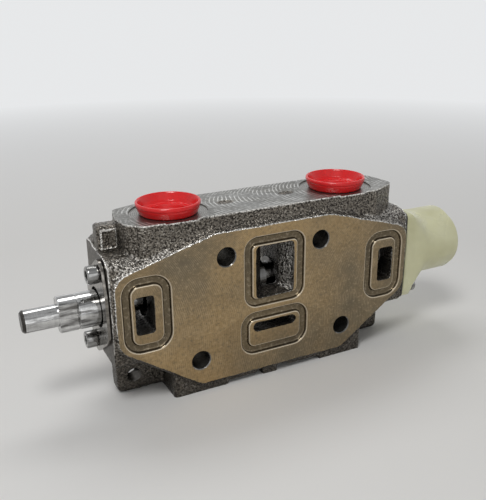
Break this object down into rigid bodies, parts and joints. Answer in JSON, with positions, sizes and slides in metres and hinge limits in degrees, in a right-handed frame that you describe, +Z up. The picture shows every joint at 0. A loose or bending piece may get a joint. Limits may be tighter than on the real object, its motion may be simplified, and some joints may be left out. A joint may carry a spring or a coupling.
{
  "type": "sectional control valve section",
  "caption": "Work section of a stacked hydraulic directional valve: iron casting, sliding spool, spring bonnet and plugged work ports.",
  "frame": {"origin": "on the underside of the small cast boss midway between the feet, under the middle of the spool bore", "axes": "+X along the spool from its bare end to the spring bonnet, +Y from the grooved front stacking face to the rear one, +Z up to the work ports"},
  "size_m": [0.2832, 0.046, 0.1108],
  "materials": {
    "cast_iron": "oiled grey iron, rough as cast, milled on the stacking faces and the port pad",
    "polished_steel": "hardened and ground, bright",
    "zinc_plated_steel": "zinc plated, slightly dull",
    "plate_steel": "oiled plain steel plate",
    "spring_steel": "oiled spring wire",
    "nitrile_rubber": "black, oiled",
    "gasket_fibre": "dark green fibre sheet",
    "natural_nylon": "pale yellow-green, slightly translucent, moulded",
    "red_plastic": "glossy moulded red"
  },
  "bodies": {
    "section": {"valve_body": "cast_iron", "spool_seal_plate": "plate_steel", "seal_plate_screw_upper": "zinc_plated_steel", "seal_plate_screw_lower": "zinc_plated_steel", "spool_seal_left": "nitrile_rubber", "wiper_ring": "nitrile_rubber", "spring_bonnet": "natural_nylon", "bonnet_gasket": "gasket_fibre", "bonnet_screw_lower": "zinc_plated_steel", "bonnet_screw_upper": "zinc_plated_steel", "spool_seal_right": "nitrile_rubber", "spool_seal_washer": "zinc_plated_steel", "centring_spring": "spring_steel"},
    "inner_seat": {"inner_spring_seat": "zinc_plated_steel"},
    "guide": {"spring_guide": "zinc_plated_steel"},
    "spool_and_bolt": {"spool": "polished_steel", "spool_end_bolt": "zinc_plated_steel"},
    "outer_seat": {"outer_spring_seat": "zinc_plated_steel"},
    "plug_left": {"port_plug_left": "red_plastic"},
    "plug_right": {"port_plug_right": "red_plastic"}
  },
  "joints": [
    {"name": "spool_push", "type": "slide", "parent": "section", "child": "inner_seat", "axis": [1, 0, 0], "range_m": [0, 0.007], "stiffness_N_per_m": 10000, "deforming": ["centring_spring"]},
    {"name": "spool_pull", "type": "slide", "parent": "inner_seat", "child": "guide", "axis": [1, 0, 0], "range_m": [-0.007, 0], "stiffness_N_per_m": 10000},
    {"name": "spool_turn", "type": "hinge", "parent": "guide", "child": "spool_and_bolt", "pos_m": [0, 0, 0.0563], "axis": [1, 0, 0], "continuous": true},
    {"name": "outer_seat_follow", "type": "slide", "parent": "section", "child": "outer_seat", "axis": [1, 0, 0], "range_m": [-0.007, 0], "deforming": ["centring_spring"]},
    {"name": "port_plug_left_lift", "type": "slide", "parent": "section", "child": "plug_left", "axis": [0, 0, 1], "range_m": [0, 0.02]},
    {"name": "port_plug_right_lift", "type": "slide", "parent": "section", "child": "plug_right", "axis": [0, 0, 1], "range_m": [0, 0.02]}
  ],
  "couplings": [
    {"joint": "outer_seat_follow", "follows": "spool_pull", "ratio": 1}
  ]
}
